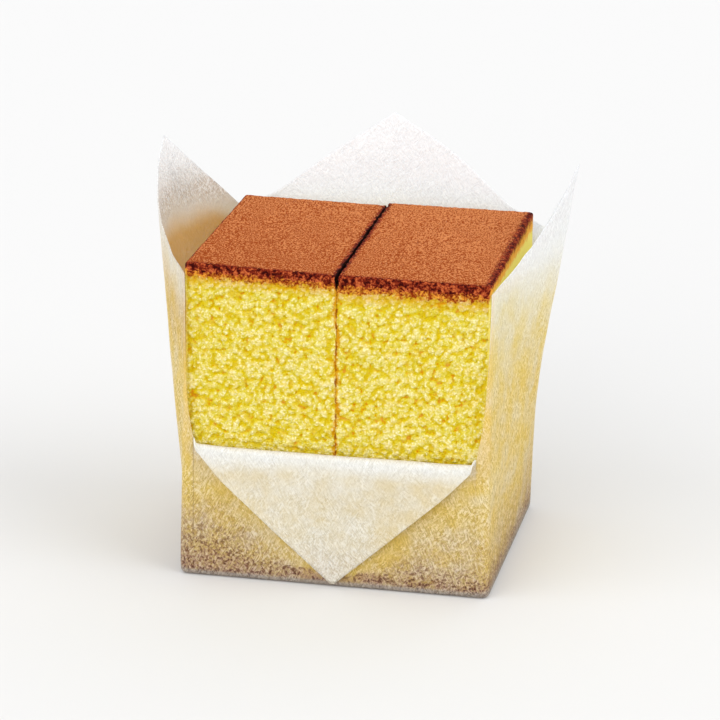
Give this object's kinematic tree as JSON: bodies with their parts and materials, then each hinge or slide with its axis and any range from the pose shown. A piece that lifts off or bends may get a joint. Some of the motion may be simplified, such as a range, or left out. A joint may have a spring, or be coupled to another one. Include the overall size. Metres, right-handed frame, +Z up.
{
  "type": "castella sponge cake",
  "caption": "Block of castella sponge cake cut into slices that still stand together, seated in a soft square sheet of wrapping paper with its corners standing up.",
  "frame": {"origin": "on the underside of the wrapping paper, below the middle of the block of cake", "axes": "+Z up through the block, the opened front towards -Y, +X to the right as seen from the front"},
  "size_m": [0.086, 0.0684, 0.0806],
  "materials": {
    "castella_sponge": "matt moist crumb, browned on top and underneath",
    "wrapping_paper": "soft matt fibrous sheet, slightly see-through"
  },
  "bodies": {
    "root": {"castella_slice_left": "castella_sponge", "castella_slice_right": "castella_sponge", "wrapping_paper": "wrapping_paper"}
  },
  "joints": []
}
